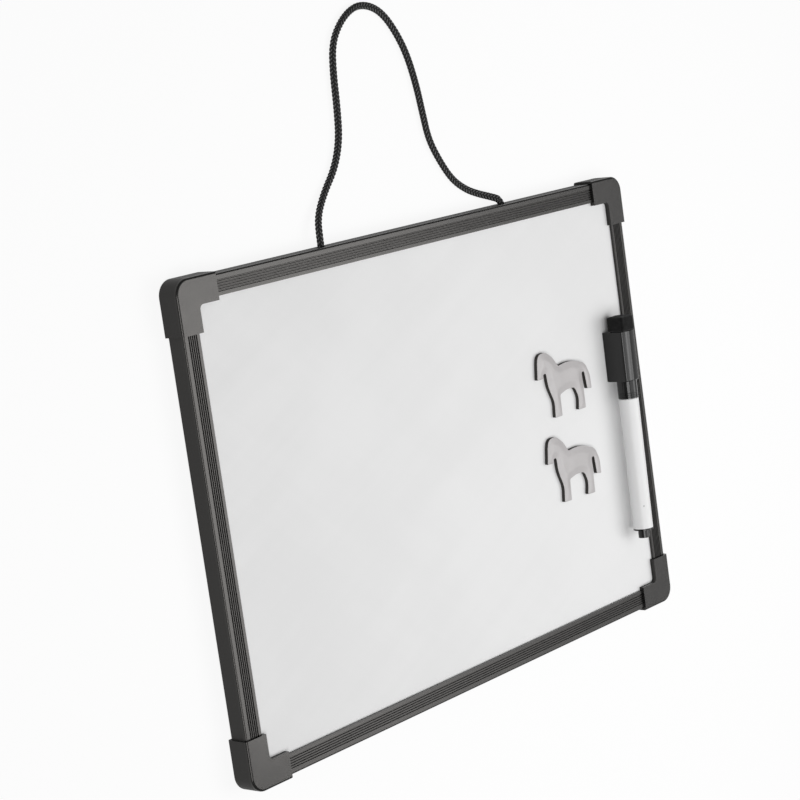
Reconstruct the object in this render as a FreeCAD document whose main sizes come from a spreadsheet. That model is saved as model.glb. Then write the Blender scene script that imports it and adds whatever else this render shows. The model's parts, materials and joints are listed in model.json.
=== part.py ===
"""A4 magnetic memo board with a hanging cord, a capped board pen and two horse figure magnets.

The board lies on its back. The origin is the middle of its footprint, on the surface it lies on.
+X runs to the board's right, +Y to its top edge and +Z out of the writing face. Millimetres.
"""
import FreeCAD
import Part
import Sketcher
import math
import os

# Driving dimensions, one cell of the sheet each.
SIZES = {
    # frame, measured over the outer faces of the rails
    "frame_length": 296.0,
    "frame_height": 209.0,
    # rail section, from its outer face inwards
    "rail_wall": 1.2,
    "chamber_width": 3.3,
    "web_wall": 1.0,
    "slot_depth": 3.5,
    "slot_clearance": 0.1,
    "rail_front_round": 0.8,
    "rail_back_round": 0.5,
    "groove_count": 5,
    "groove_start": 2.9,
    "groove_pitch": 1.05,
    "groove_width": 0.76,
    "groove_depth": 0.45,
    # panel, three bonded layers held in the slots
    "steel_thickness": 0.5,
    "core_thickness": 5.1,
    "backing_thickness": 0.5,
    "panel_gap": 0.3,
    # corner mouldings
    "corner_wall": 1.1,
    "corner_leg": 22.7,
    "corner_overhang": 1.5,
    "corner_block": 10.0,
    "corner_round": 7.0,
    "corner_inner_round": 2.0,
    "corner_edge_round": 1.0,
    "corner_clearance": 0.1,
    "tongue_length": 10.0,
    "tongue_clearance": 0.15,
    "tongue_lead": 0.6,
    # hanging cord
    "cord_diameter": 3.0,
    "cord_hole": 3.8,
    "cord_hole_spacing": 122.8,
    "cord_hole_shift": 2.8,
    "ferrule_wall": 0.65,
    "ferrule_length": 2.4,
    "ferrule_clearance": 0.05,
    # where the pen sits on the face, in from the right rail
    "pen_inset": 11.7,
    "pen_y": 21.0,
    "pen_tilt": -1.2,
    "slide_gap": 0.1,
    # pen cap with its magnet and felt
    "cap_width": 10.2,
    "cap_height": 12.4,
    "cap_length": 24.0,
    "cap_crown_radius": 14.0,
    "cap_front_round": 1.2,
    "cap_edge_round": 0.5,
    "collar_length": 8.4,
    "ring_count": 3,
    "ring_pitch": 0.9,
    "ring_width": 0.4,
    "ring_depth": 0.25,
    "bore_depth": 30.0,
    "bore_clearance": 0.3,
    "magnet_width": 7.0,
    "magnet_length": 18.0,
    "magnet_thickness": 1.8,
    "magnet_fit": 0.05,
    "felt_width": 9.8,
    "felt_height": 9.6,
    "felt_length": 7.4,
    "felt_round": 0.7,
    # pen
    "pen_axis_height": 7.5,
    "pen_diameter": 9.6,
    "pen_seam": 0.1,
    "barrel_length": 63.8,
    "barrel_wall": 0.9,
    "barrel_edge": 0.3,
    "neck_diameter": 7.6,
    "neck_length": 14.0,
    "neck_wall": 1.2,
    "shoulder_depth": 2.0,
    "cone_length": 6.0,
    "cone_diameter": 5.2,
    "nib_diameter": 3.0,
    "nib_fit": 0.05,
    "nib_reach": 4.5,
    "nib_tip_length": 2.5,
    "nib_tip_diameter": 1.4,
    "reservoir_clearance": 0.3,
    "reservoir_end_gap": 0.5,
    "plug_flange": 0.8,
    "plug_stub_diameter": 5.4,
    "plug_stub_length": 4.0,
    "plug_spigot_length": 6.0,
    "plug_fit": 0.05,
    # figure magnets
    "figure_length": 39.7,
    "figure_height": 31.5,
    "figure_magnet_thickness": 1.7,
    "figure_face_thickness": 0.5,
    "figure_face_bevel": 0.3,
    "upper_figure_inset": 53.0,
    "upper_figure_y": 1.6,
    "upper_figure_turn": 0.0,
    "lower_figure_inset": 54.3,
    "lower_figure_y": -38.9,
    "lower_figure_turn": -2.0,
}

# Formulas on the sheet that several pieces share.
PANEL = "(sizes.backing_thickness + sizes.core_thickness + sizes.steel_thickness)"
SLOT_HEIGHT = f"({PANEL} + sizes.slot_clearance)"
RAIL_DEPTH = f"({SLOT_HEIGHT} + 2 * sizes.rail_wall)"
SLOT_FLOOR = "(sizes.rail_wall + sizes.chamber_width + sizes.web_wall)"
RAIL_FACE = f"({SLOT_FLOOR} + sizes.slot_depth)"
PANEL_BACK = "(sizes.corner_wall + sizes.rail_wall)"
PANEL_FRONT = f"({PANEL_BACK} + {PANEL})"
HOLE_HEIGHT = f"(sizes.corner_wall + {RAIL_DEPTH} / 2)"
RIGHT_RAIL = f"(sizes.frame_length / 2 - {RAIL_FACE})"

doc = FreeCAD.newDocument("memo_board")
sizes = doc.addObject("Spreadsheet::Sheet", "sizes")
for row, (alias, number) in enumerate(SIZES.items(), start=1):
    sizes.set(f"A{row}", alias)
    sizes.set(f"B{row}", str(number))
    sizes.setAlias(f"B{row}", alias)
doc.recompute()

# Every finished piece, in the order in which they are made.
pieces = []


def size(alias):
    """Number in the sheet's cell."""
    return float(sizes.get(alias))


def new_body(label):
    """Empty body for one physical piece."""
    body = doc.addObject("PartDesign::Body", label)
    pieces.append(body)
    return body


def place(body, x, y, z, turn="0"):
    """Seat a body by formulas, turned about the board's normal by an angle in degrees."""
    body.Placement = FreeCAD.Placement(FreeCAD.Vector(), FreeCAD.Rotation(FreeCAD.Vector(0, 0, 1), 1))
    for path, formula in (("Base.x", x), ("Base.y", y), ("Base.z", z), ("Rotation.Angle", turn)):
        body.setExpression(f"Placement.{path}", formula)


def sketch_on(body, role, shift=("0", "0", "0")):
    """Sketch on one of the body's origin planes, moved by formulas along the sketch's own axes."""
    sketch = body.newObject("Sketcher::SketchObject", "sketch")
    plane = next(item for item in body.Origin.OriginFeatures if item.Role == role)
    sketch.AttachmentSupport = [(plane, "")]
    sketch.MapMode = "FlatFace"
    for axis, formula in zip("xyz", shift):
        sketch.setExpression(f"AttachmentOffset.Base.{axis}", formula)
    return sketch


def bind(sketch, constraint, formula):
    """Add a constraint whose value is a formula."""
    number = sketch.addConstraint(constraint)
    sketch.setExpression(f"Constraints[{number}]", formula)


def draw_loop(sketch, corners):
    """Closed loop of straight lines, each corner a pair of formulas in the sketch's axes."""
    first = sketch.GeometryCount
    count = len(corners)
    step = 2 * math.pi / count
    ring = [FreeCAD.Vector(math.cos(step * index), math.sin(step * index), 0) for index in range(count)]
    for index in range(count):
        sketch.addGeometry(Part.LineSegment(ring[index], ring[(index + 1) % count]))
    for index, (across, up) in enumerate(corners):
        line = first + index
        before = first + (index - 1) % count
        sketch.addConstraint(Sketcher.Constraint("Coincident", before, 2, line, 1))
        bind(sketch, Sketcher.Constraint("DistanceX", -1, 1, line, 1, ring[index].x), across)
        bind(sketch, Sketcher.Constraint("DistanceY", -1, 1, line, 1, ring[index].y), up)


def draw_box(sketch, left, right, low, high):
    """Closed rectangle between four formulas."""
    draw_loop(sketch, [(left, low), (right, low), (right, high), (left, high)])


def draw_circle(sketch, across, up, diameter):
    """Circle with its centre and diameter given by formulas."""
    ring = sketch.addGeometry(Part.Circle(FreeCAD.Vector(1, 1, 0), FreeCAD.Vector(0, 0, 1), 1))
    bind(sketch, Sketcher.Constraint("DistanceX", -1, 1, ring, 3, 1.0), across)
    bind(sketch, Sketcher.Constraint("DistanceY", -1, 1, ring, 3, 1.0), up)
    bind(sketch, Sketcher.Constraint("Diameter", ring, 2.0), diameter)


def add_step(body, kind, sketch, length=None, **settings):
    """Pad, pocket, revolution or groove made from a sketch."""
    step = body.newObject(f"PartDesign::{kind}", kind.lower())
    step.Profile = sketch
    for name, value in settings.items():
        setattr(step, name, value)
    if length:
        step.setExpression("Length", length)
    doc.recompute()
    return step


def repeat(body, step, sketch, count, pitch, **settings):
    """Copies of a step along the sketch's first axis, one pitch apart."""
    pattern = body.newObject("PartDesign::LinearPattern", "pattern")
    pattern.Originals = [step]
    pattern.Direction = (sketch, ["H_Axis"])
    for name, value in settings.items():
        setattr(pattern, name, value)
    pattern.setExpression("Length", f"{pitch} * ({count} - 1)")
    pattern.setExpression("Occurrences", count)
    body.Tip = pattern
    doc.recompute()


def soften(body, kind, chosen, amount, alias):
    """Fillet or chamfer the edges of the finished solid that the test picks."""
    base = body.Tip
    names = [f"Edge{number}" for number, edge in enumerate(base.Shape.Edges, start=1) if chosen(edge)]
    step = body.newObject(f"PartDesign::{kind}", kind.lower())
    step.Base = (base, names)
    step.setExpression(amount, f"sizes.{alias}")
    doc.recompute()


def close(first, second):
    """True where two lengths agree."""
    return abs(first - second) < 1e-4


def middle(edge):
    """Point halfway along an edge."""
    return edge.valueAt((edge.FirstParameter + edge.LastParameter) / 2)


def along(edge, axis):
    """True where an edge is a straight line along the named axis."""
    ends = [vertex.Point for vertex in edge.Vertexes]
    if len(ends) < 2 or edge.Curve.TypeId != "Part::GeomLine":
        return False
    run = ends[1] - ends[0]
    return close(abs(getattr(run, axis)), run.Length)


def make_rail(label, span, x, y, turn):
    """Extruded rail: a chamber outside, a slot for the panel inside, grooves along its front.

    In its own frame it runs along X, its outer face is y = 0 and its back is z = 0.
    """
    body = new_body(label)
    profile = sketch_on(body, "YZ_Plane")
    lip = f"({RAIL_DEPTH} - sizes.rail_wall)"
    draw_loop(profile, [
        ("0", "0"),
        (f"-{RAIL_FACE}", "0"),
        (f"-{RAIL_FACE}", "sizes.rail_wall"),
        (f"-{SLOT_FLOOR}", "sizes.rail_wall"),
        (f"-{SLOT_FLOOR}", lip),
        (f"-{RAIL_FACE}", lip),
        (f"-{RAIL_FACE}", RAIL_DEPTH),
        ("0", RAIL_DEPTH),
    ])
    draw_box(profile, "-sizes.rail_wall - sizes.chamber_width", "-sizes.rail_wall", "sizes.rail_wall", lip)
    add_step(body, "Pad", profile, f"{span} - 2 * sizes.corner_block", SideType="Symmetric")

    def front_edge(edge):
        box = body.Tip.Shape.BoundBox
        return along(edge, "x") and close(middle(edge).y, box.YMax) and close(middle(edge).z, box.ZMax)

    def back_edge(edge):
        box = body.Tip.Shape.BoundBox
        return along(edge, "x") and close(middle(edge).y, box.YMax) and close(middle(edge).z, box.ZMin)

    soften(body, "Fillet", front_edge, "Radius", "rail_front_round")
    soften(body, "Fillet", back_edge, "Radius", "rail_back_round")
    groove = sketch_on(body, "YZ_Plane")
    draw_loop(groove, [
        ("-sizes.groove_start - sizes.groove_width / 2", RAIL_DEPTH),
        ("-sizes.groove_start + sizes.groove_width / 2", RAIL_DEPTH),
        ("-sizes.groove_start + sizes.groove_width / 4", f"{RAIL_DEPTH} - sizes.groove_depth"),
        ("-sizes.groove_start - sizes.groove_width / 4", f"{RAIL_DEPTH} - sizes.groove_depth"),
    ])
    cut = add_step(body, "Pocket", groove, Type="ThroughAll", SideType="Symmetric")
    repeat(body, cut, groove, "sizes.groove_count", "sizes.groove_pitch", Reversed=True)
    place(body, x, y, "sizes.corner_wall", turn)
    return body


def make_corner(label, x, y, turn):
    """L-shaped corner moulding: a sleeve over two rail ends, with a tongue inside each rail's chamber.

    In its own frame the rails' outer faces meet at the origin, and its legs run along -X and -Y.
    """
    body = new_body(label)
    outer = "sizes.corner_wall"
    end = "sizes.corner_wall - sizes.corner_leg"
    inner = f"-{RAIL_FACE} - sizes.corner_overhang"
    outline = sketch_on(body, "XY_Plane")
    draw_loop(outline, [(outer, outer), (end, outer), (end, inner), (inner, inner), (inner, end), (outer, end)])
    add_step(body, "Pad", outline, f"{RAIL_DEPTH} + 2 * sizes.corner_wall")

    def outer_corner(edge):
        return along(edge, "z") and close(middle(edge).x, middle(edge).y) and middle(edge).x > 0

    def inner_corner(edge):
        return along(edge, "z") and close(middle(edge).x, middle(edge).y) and middle(edge).x < 0

    def outer_rim(edge):
        box = body.Tip.Shape.BoundBox
        point = middle(edge)
        flat = close(point.z, box.ZMax) or close(point.z, box.ZMin)
        turned = edge.Curve.TypeId == "Part::GeomCircle" and close(edge.Curve.Radius, size("corner_round"))
        return flat and (turned or close(point.x, box.XMax) or close(point.y, box.YMax))

    soften(body, "Fillet", outer_corner, "Radius", "corner_round")
    soften(body, "Fillet", inner_corner, "Radius", "corner_inner_round")
    soften(body, "Fillet", outer_rim, "Radius", "corner_edge_round")

    # the two legs: plane, the way its cut runs, and the way its tongue runs
    legs = (("YZ_Plane", "-sizes.corner_block", False, True), ("XZ_Plane", "sizes.corner_block", True, False))
    back = "sizes.corner_wall - sizes.corner_clearance"
    front = f"sizes.corner_wall + {RAIL_DEPTH} + sizes.corner_clearance"
    for plane, shift, cut_way, tongue_way in legs:
        channel = sketch_on(body, plane, ("0", "0", shift))
        draw_box(channel, f"-{RAIL_FACE} - sizes.corner_clearance", "sizes.corner_clearance", back, front)
        add_step(body, "Pocket", channel, Type="ThroughAll", Reversed=cut_way)

    notch = sketch_on(body, "XY_Plane", ("0", "0", f"{PANEL_BACK} + {SLOT_HEIGHT}"))
    draw_box(notch, end, f"-{SLOT_FLOOR}", end, f"-{SLOT_FLOOR}")
    add_step(body, "Pocket", notch, SLOT_HEIGHT)

    for plane, shift, cut_way, tongue_way in legs:
        tongue = sketch_on(body, plane, ("0", "0", shift))
        draw_box(
            tongue,
            "-sizes.rail_wall - sizes.chamber_width + sizes.tongue_clearance",
            "-sizes.rail_wall - sizes.tongue_clearance",
            f"{PANEL_BACK} + sizes.tongue_clearance",
            f"{PANEL_BACK} + {SLOT_HEIGHT} - sizes.tongue_clearance",
        )
        add_step(body, "Pad", tongue, "sizes.tongue_length", Reversed=tongue_way)

    tip = -size("corner_block") - size("tongue_length")

    def tongue_tip(edge):
        point = middle(edge)
        across = close(point.x, tip) and point.y > tip / 2 and not along(edge, "x")
        down = close(point.y, tip) and point.x > tip / 2 and not along(edge, "y")
        inside = size("corner_wall") + size("rail_wall") < point.z
        return (across or down) and inside and point.z < body.Tip.Shape.BoundBox.ZMax - size("corner_wall")

    soften(body, "Chamfer", tongue_tip, "Size", "tongue_lead")
    place(body, x, y, "0", turn)


def make_layer(label, thickness, height):
    """One flat layer of the panel, cut to reach into the slots of all four rails."""
    layer = doc.addObject("Part::Box", label)
    inset = f"({SLOT_FLOOR} + sizes.panel_gap)"
    for name, formula in (
        ("Length", f"sizes.frame_length - 2 * {inset}"),
        ("Width", f"sizes.frame_height - 2 * {inset}"),
        ("Height", thickness),
        ("Placement.Base.x", f"{inset} - sizes.frame_length / 2"),
        ("Placement.Base.y", f"{inset} - sizes.frame_height / 2"),
        ("Placement.Base.z", height),
    ):
        layer.setExpression(name, formula)
    pieces.append(layer)


# Frame: four rails cut from one extrusion, the top one drilled for the cord.
HALF_LENGTH = "sizes.frame_length / 2"
HALF_HEIGHT = "sizes.frame_height / 2"
top_rail = make_rail("top_rail", "sizes.frame_length", "0", HALF_HEIGHT, "0")
make_rail("bottom_rail", "sizes.frame_length", "0", f"-{HALF_HEIGHT}", "180")
make_rail("left_rail", "sizes.frame_height", f"-{HALF_LENGTH}", "0", "90")
make_rail("right_rail", "sizes.frame_height", HALF_LENGTH, "0", "270")

LEFT_HOLE = "sizes.cord_hole_shift - sizes.cord_hole_spacing / 2"
RIGHT_HOLE = "sizes.cord_hole_shift + sizes.cord_hole_spacing / 2"
holes = sketch_on(top_rail, "XZ_Plane")
for across in (LEFT_HOLE, RIGHT_HOLE):
    draw_circle(holes, across, f"{RAIL_DEPTH} / 2", "sizes.cord_hole")
add_step(top_rail, "Pocket", holes, "sizes.rail_wall", Reversed=True)

# Corner mouldings: one shape, turned to each corner.
make_corner("top_right_corner", HALF_LENGTH, HALF_HEIGHT, "0")
make_corner("top_left_corner", f"-{HALF_LENGTH}", HALF_HEIGHT, "90")
make_corner("bottom_left_corner", f"-{HALF_LENGTH}", f"-{HALF_HEIGHT}", "180")
make_corner("bottom_right_corner", HALF_LENGTH, f"-{HALF_HEIGHT}", "270")

# Panel: backing, core and the lacquered steel writing sheet.
make_layer("back_sheet", "sizes.backing_thickness", PANEL_BACK)
make_layer("core_board", "sizes.core_thickness", f"{PANEL_BACK} + sizes.backing_thickness")
make_layer("writing_sheet", "sizes.steel_thickness", f"{PANEL_FRONT} - sizes.steel_thickness")


def make_turned(body, corners, kind="Revolution"):
    """Solid of revolution about the pen's axis, from corners given as distance along it and radius."""
    sketch = sketch_on(body, "YZ_Plane", ("0", "sizes.pen_axis_height", "0"))
    draw_loop(sketch, corners)
    step = add_step(body, kind, sketch, ReferenceAxis=(sketch, ["H_Axis"]), Angle=360.0)
    return sketch, step


def seat_pen(body):
    """Seat a piece of the pen: its cap's middle is its own origin, on the writing face."""
    place(body, f"{RIGHT_RAIL} - sizes.pen_inset", "sizes.pen_y", PANEL_FRONT, "sizes.pen_tilt")


# Pen cap: a rectangular magnet holder moulded round a tube, with grip rings at its mouth.
MOUTH = "(-sizes.cap_length / 2 - sizes.collar_length)"
PEN_RADIUS = "(sizes.pen_diameter / 2)"
pen_cap = new_body("pen_cap")
section = sketch_on(pen_cap, "XZ_Plane")
draw_box(section, "-sizes.cap_width / 2", "sizes.cap_width / 2", "sizes.slide_gap", "sizes.cap_height")
add_step(pen_cap, "Pad", section, "sizes.cap_length", SideType="Symmetric")
crown = sketch_on(pen_cap, "XZ_Plane")
draw_circle(crown, "0", "sizes.cap_height - sizes.cap_crown_radius", "2 * sizes.cap_crown_radius")
draw_box(
    crown,
    "-1.5 * sizes.cap_crown_radius",
    "1.5 * sizes.cap_crown_radius",
    "sizes.cap_height - 2.5 * sizes.cap_crown_radius",
    "sizes.cap_height + 0.5 * sizes.cap_crown_radius",
)
add_step(pen_cap, "Pocket", crown, Type="ThroughAll", SideType="Symmetric")


def cap_front_edge(edge):
    flank = close(abs(middle(edge).x), size("cap_width") / 2)
    return along(edge, "y") and flank and middle(edge).z > size("pen_axis_height")


def cap_mouth_edge(edge):
    return close(middle(edge).y, -size("cap_length") / 2)


soften(pen_cap, "Fillet", cap_front_edge, "Radius", "cap_front_round")
soften(pen_cap, "Fillet", cap_mouth_edge, "Radius", "cap_edge_round")
collar = sketch_on(pen_cap, "XZ_Plane", ("0", "0", "sizes.cap_length / 2 - sizes.cap_edge_round"))
draw_circle(collar, "0", "sizes.pen_axis_height", "sizes.pen_diameter")
add_step(pen_cap, "Pad", collar, "sizes.collar_length + sizes.cap_edge_round")
bore = sketch_on(pen_cap, "XZ_Plane", ("0", "0", f"-{MOUTH}"))
draw_circle(bore, "0", "sizes.pen_axis_height", "sizes.neck_diameter + 2 * sizes.bore_clearance")
add_step(pen_cap, "Pocket", bore, "sizes.bore_depth")
pocket = sketch_on(pen_cap, "XY_Plane", ("0", "0", "sizes.slide_gap"))
half_pocket_width = "(sizes.magnet_width / 2 + sizes.magnet_fit)"
half_pocket_length = "(sizes.magnet_length / 2 + sizes.magnet_fit)"
draw_box(
    pocket,
    f"-{half_pocket_width}",
    half_pocket_width,
    f"-{half_pocket_length}",
    half_pocket_length,
)
add_step(pen_cap, "Pocket", pocket, "sizes.magnet_thickness", Reversed=True)
ring_middle = f"{MOUTH} + sizes.ring_pitch"
rings, ring_cut = make_turned(pen_cap, [
    (f"{ring_middle} - sizes.ring_width / 2", PEN_RADIUS),
    (f"{ring_middle} + sizes.ring_width / 2", PEN_RADIUS),
    (f"{ring_middle} + sizes.ring_width / 4", f"{PEN_RADIUS} - sizes.ring_depth"),
    (f"{ring_middle} - sizes.ring_width / 4", f"{PEN_RADIUS} - sizes.ring_depth"),
], "Groove")
repeat(pen_cap, ring_cut, rings, "sizes.ring_count", "sizes.ring_pitch")
seat_pen(pen_cap)

cap_magnet = new_body("cap_magnet")
plate = sketch_on(cap_magnet, "XY_Plane", ("0", "0", "sizes.slide_gap"))
draw_box(
    plate,
    "-sizes.magnet_width / 2",
    "sizes.magnet_width / 2",
    "-sizes.magnet_length / 2",
    "sizes.magnet_length / 2",
)
add_step(cap_magnet, "Pad", plate, "sizes.magnet_thickness")
seat_pen(cap_magnet)

# Felt eraser glued on the cap's closed end.
eraser_felt = new_body("eraser_felt")
felt = sketch_on(eraser_felt, "XZ_Plane", ("0", "0", "-sizes.cap_length / 2"))
draw_box(
    felt,
    "-sizes.felt_width / 2",
    "sizes.felt_width / 2",
    "sizes.cap_height - sizes.felt_height",
    "sizes.cap_height",
)
add_step(eraser_felt, "Pad", felt, "sizes.felt_length", Reversed=True)


def felt_edge(edge):
    return not close(middle(edge).y, size("cap_length") / 2)


soften(eraser_felt, "Fillet", felt_edge, "Radius", "felt_round")
seat_pen(eraser_felt)

# Pen barrel: one moulding with its stepped neck, open at the back.
SHOULDER = f"({MOUTH} - sizes.pen_seam)"
BARREL_END = f"({SHOULDER} - sizes.barrel_length)"
BARREL_BORE = f"({PEN_RADIUS} - sizes.barrel_wall)"
NECK_RADIUS = "(sizes.neck_diameter / 2)"
NECK_BORE = f"({NECK_RADIUS} - sizes.neck_wall)"
NIB_RADIUS = "(sizes.nib_diameter / 2)"
NECK_END = f"({SHOULDER} + sizes.neck_length)"
CONE_END = f"({NECK_END} + sizes.cone_length)"
BORE_END = f"({SHOULDER} - sizes.shoulder_depth)"
pen_barrel = new_body("pen_barrel")
make_turned(pen_barrel, [
    (BARREL_END, BARREL_BORE),
    (BARREL_END, PEN_RADIUS),
    (f"{SHOULDER} - sizes.barrel_edge", PEN_RADIUS),
    (SHOULDER, f"{PEN_RADIUS} - sizes.barrel_edge"),
    (SHOULDER, NECK_RADIUS),
    (NECK_END, NECK_RADIUS),
    (CONE_END, "sizes.cone_diameter / 2"),
    (CONE_END, f"{NIB_RADIUS} + sizes.nib_fit"),
    (NECK_END, f"{NIB_RADIUS} + sizes.nib_fit"),
    (NECK_END, NECK_BORE),
    (BORE_END, NECK_BORE),
    (BORE_END, BARREL_BORE),
])
seat_pen(pen_barrel)

ink_reservoir = new_body("ink_reservoir")
RESERVOIR_FRONT = f"({BORE_END} - sizes.reservoir_clearance)"
RESERVOIR_BACK = f"({BARREL_END} + sizes.plug_spigot_length + sizes.reservoir_end_gap)"
make_turned(ink_reservoir, [
    (RESERVOIR_FRONT, "0"),
    (RESERVOIR_FRONT, f"{BARREL_BORE} - sizes.reservoir_clearance"),
    (RESERVOIR_BACK, f"{BARREL_BORE} - sizes.reservoir_clearance"),
    (RESERVOIR_BACK, "0"),
])
seat_pen(ink_reservoir)

pen_nib = new_body("pen_nib")
NIB_END = f"({CONE_END} + sizes.nib_reach)"
make_turned(pen_nib, [
    (RESERVOIR_FRONT, "0"),
    (RESERVOIR_FRONT, NIB_RADIUS),
    (f"{NIB_END} - sizes.nib_tip_length", NIB_RADIUS),
    (NIB_END, "sizes.nib_tip_diameter / 2"),
    (NIB_END, "0"),
])
seat_pen(pen_nib)

end_plug = new_body("end_plug")
PLUG_BACK = f"({BARREL_END} - sizes.plug_flange)"
make_turned(end_plug, [
    (f"{PLUG_BACK} - sizes.plug_stub_length", "0"),
    (f"{PLUG_BACK} - sizes.plug_stub_length", "sizes.plug_stub_diameter / 2"),
    (PLUG_BACK, "sizes.plug_stub_diameter / 2"),
    (PLUG_BACK, PEN_RADIUS),
    (BARREL_END, PEN_RADIUS),
    (BARREL_END, f"{BARREL_BORE} - sizes.plug_fit"),
    (f"{BARREL_END} + sizes.plug_spigot_length", f"{BARREL_BORE} - sizes.plug_fit"),
    (f"{BARREL_END} + sizes.plug_spigot_length", "0"),
])
seat_pen(end_plug)

def bend(before, point, after, radius):
    """Start, crest and end of the arc of this radius that is tangent to both runs at a corner."""
    back = (before - point).normalize()
    ahead = (after - point).normalize()
    half = (math.pi - back.getAngle(ahead)) / 2
    reach = radius * math.tan(half)
    crest = point + (back + ahead).normalize() * (radius / math.cos(half) - radius)
    return point + back * reach, crest, point + ahead * reach


# Horse figure, drawn standing on its feet: corners across and up, each with its rounding.
FIGURE = (
    # forefoot and belly
    (-9.4, 0.0, 0.5),
    (-4.2, 0.0, 0.5),
    (-4.0, 9.9, 1.5),
    (1.6, 11.4, 12.0),
    # hind leg
    (7.6, 11.2, 3.0),
    (9.9, 6.0, 7.0),
    (8.8, 0.0, 0.5),
    (14.2, 0.0, 0.5),
    # tail
    (14.3, 17.1, 1.0),
    (16.3, 17.1, 1.0),
    (17.3, 8.6, 0.5),
    (20.5, 8.0, 0.6),
    # rump and back
    (20.3, 15.0, 10.0),
    (17.4, 20.9, 5.0),
    (6.4, 24.4, 25.0),
    # mane and brow
    (-2.9, 23.3, 1.5),
    (-6.2, 28.0, 12.0),
    (-11.2, 31.5, 5.0),
    (-16.8, 31.2, 3.5),
    (-18.0, 27.0, 6.0),
    # muzzle and throat
    (-19.2, 19.6, 0.6),
    (-14.7, 19.6, 0.5),
    (-14.7, 21.7, 1.0),
    (-12.4, 21.7, 1.0),
    # chest and foreleg
    (-11.9, 15.0, 15.0),
    (-8.6, 7.2, 9.0),
)


def make_figure(label, name, thickness, height):
    """One layer of a horse magnet: the figure's outline, padded, seated at its place on the face."""
    body = new_body(label)
    sketch = sketch_on(body, "XY_Plane")
    columns, rows, roundings = zip(*FIGURE)
    across = size("figure_length") / (max(columns) - min(columns))
    up = size("figure_height") / (max(rows) - min(rows))
    corners = [FreeCAD.Vector(x * across, y * up, 0) for x, y, radius in FIGURE]
    arcs = []
    for index, (x, y, radius) in enumerate(FIGURE):
        following = corners[(index + 1) % len(corners)]
        arcs.append(bend(corners[index - 1], corners[index], following, radius * min(across, up)))
    for index, (entry, crest, leave) in enumerate(arcs):
        sketch.addGeometry(Part.LineSegment(arcs[index - 1][2], entry))
        sketch.addGeometry(Part.Arc(entry, crest, leave))
    add_step(body, "Pad", sketch, thickness)
    place(body, f"{RIGHT_RAIL} - sizes.{name}_inset", f"sizes.{name}_y", height, f"sizes.{name}_turn")
    return body


def face_edge(edge):
    return close(middle(edge).z, size("figure_face_thickness")) and close(edge.BoundBox.ZLength, 0)


# Figure magnets: magnetic rubber with a bonded face, cut to one outline.
FIGURE_BACK = f"({PANEL_FRONT} + sizes.slide_gap)"
for side in ("upper", "lower"):
    figure = f"{side}_figure"
    make_figure(f"{side}_horse_magnet", figure, "sizes.figure_magnet_thickness", FIGURE_BACK)
    face_height = f"{FIGURE_BACK} + sizes.figure_magnet_thickness"
    face = make_figure(f"{side}_horse_face", figure, "sizes.figure_face_thickness", face_height)
    soften(face, "Chamfer", face_edge, "Size", "figure_face_bevel")


def make_ferrule(label, across):
    """Crimped sleeve on the cord's end, too wide for the hole, seated on the chamber's outer wall."""
    start = f"{HALF_HEIGHT} - sizes.rail_wall - sizes.ferrule_length"
    upright = FreeCAD.Rotation(FreeCAD.Vector(1, 0, 0), -90)
    bore_radius = "sizes.cord_diameter / 2 + sizes.ferrule_clearance"
    tubes = []
    for name, radius in (("sleeve", f"{bore_radius} + sizes.ferrule_wall"), ("sleeve_bore", bore_radius)):
        tube = doc.addObject("Part::Cylinder", name)
        tube.Placement = FreeCAD.Placement(FreeCAD.Vector(), upright)
        tube.setExpression("Radius", radius)
        tube.setExpression("Height", "sizes.ferrule_length")
        tube.setExpression("Placement.Base.x", across)
        tube.setExpression("Placement.Base.y", start)
        tube.setExpression("Placement.Base.z", HOLE_HEIGHT)
        tubes.append(tube)
    ferrule = doc.addObject("Part::Cut", label)
    ferrule.Base, ferrule.Tool = tubes
    pieces.append(ferrule)


make_ferrule("left_cord_ferrule", LEFT_HOLE)
make_ferrule("right_cord_ferrule", RIGHT_HOLE)

# Hanging cord: from the left ferrule, out of the rail, in a loose loop on the table and back in.
CORD_ROUTE = (
    (-58.6, 100.4, 5.4),
    (-58.6, 108.4, 5.4),
    (-55.6, 117.0, 3.2),
    (-48.0, 126.0, 1.6),
    (-39.4, 135.2, 1.6),
    (-34.0, 146.6, 1.6),
    (-32.4, 160.6, 1.6),
    (-31.8, 174.6, 1.6),
    (-29.8, 187.2, 1.6),
    (-22.6, 196.2, 1.6),
    (-12.8, 201.6, 1.6),
    (-3.6, 201.2, 1.6),
    (4.4, 197.2, 1.6),
    (11.0, 189.4, 1.6),
    (16.8, 178.6, 1.6),
    (20.4, 164.6, 1.6),
    (22.2, 150.6, 1.6),
    (23.8, 139.4, 1.6),
    (29.2, 129.2, 1.6),
    (36.0, 119.8, 1.6),
    (44.8, 114.0, 1.6),
    (52.0, 111.0, 2.4),
    (57.8, 108.9, 3.9),
    (64.2, 106.4, 5.4),
    (64.2, 100.4, 5.4),
)
# share of the shorter run that each bend takes up
BEND_SHARE = 0.45


def cord_path(points):
    """Straight runs joined by tangent arcs as wide as their runs allow, with the list of radii."""
    edges = []
    radii = []
    start = points[0]
    for before, point, after in zip(points, points[1:], points[2:]):
        back = before - point
        ahead = after - point
        half = (math.pi - back.getAngle(ahead)) / 2
        radii.append(BEND_SHARE * min(back.Length, ahead.Length) / math.tan(half))
        entry, crest, leave = bend(before, point, after, radii[-1])
        edges.append(Part.LineSegment(start, entry).toShape())
        edges.append(Part.Arc(entry, crest, leave).toShape())
        start = leave
    edges.append(Part.LineSegment(start, points[-1]).toShape())
    return Part.Wire(edges), radii


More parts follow.
